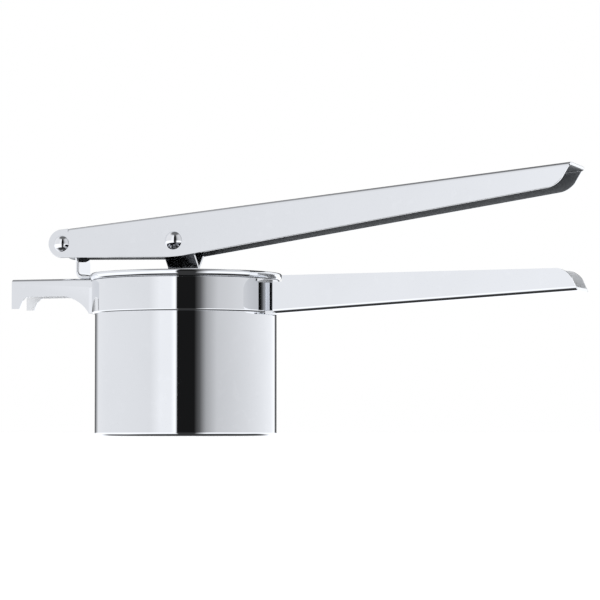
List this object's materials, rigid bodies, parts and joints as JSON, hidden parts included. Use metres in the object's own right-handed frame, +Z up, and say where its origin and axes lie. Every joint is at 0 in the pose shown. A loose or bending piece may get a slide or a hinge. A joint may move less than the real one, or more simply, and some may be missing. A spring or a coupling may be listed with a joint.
{
  "type": "potato ricer",
  "caption": "Hand press with a perforated cup in a ring frame, a hinged lever that drives a round press plate into the cup, a channel handle and a hook for the rim of a pot.",
  "frame": {"origin": "centre of the cup's base, on the face that it stands on", "axes": "+Z up along the cup's axis, +X along the handles from the cup to their tips, +Y completes the frame"},
  "size_m": [0.2828, 0.0928, 0.1256],
  "materials": {
    "polished_steel": "mirror-polished stainless sheet",
    "rivet_steel": "polished domed rivet",
    "plunger_steel": "polished stainless sheet",
    "plain_steel": "turned steel tube"
  },
  "bodies": {
    "frame": {"strainer_cup": "polished_steel", "frame_ring": "polished_steel", "lower_handle": "polished_steel", "pot_hook": "polished_steel", "hinge_strap": "polished_steel"},
    "lever": {"upper_lever": "polished_steel", "pivot_rivet": "rivet_steel", "pivot_tube": "plain_steel", "plunger_rivet": "rivet_steel"},
    "plunger": {"plunger_arm_near": "plunger_steel", "plunger_arm_far": "plunger_steel", "stem_rivets": "rivet_steel", "press_plate": "plunger_steel", "foot_rivets": "rivet_steel"}
  },
  "joints": [
    {"name": "lever_hinge", "type": "hinge", "parent": "frame", "child": "lever", "pos_m": [-0.0613, 0, 0.0936], "axis": [0, -1, 0], "range_deg": [-7.5, 60]},
    {"name": "plunger_hinge", "type": "hinge", "parent": "lever", "child": "plunger", "pos_m": [-0.0026, 0, 0.0939], "axis": [0, -1, 0], "range_deg": [-43.5, 5.5]}
  ],
  "couplings": [
    {"joint": "plunger_hinge", "follows": "lever_hinge", "ratio": -0.72}
  ]
}
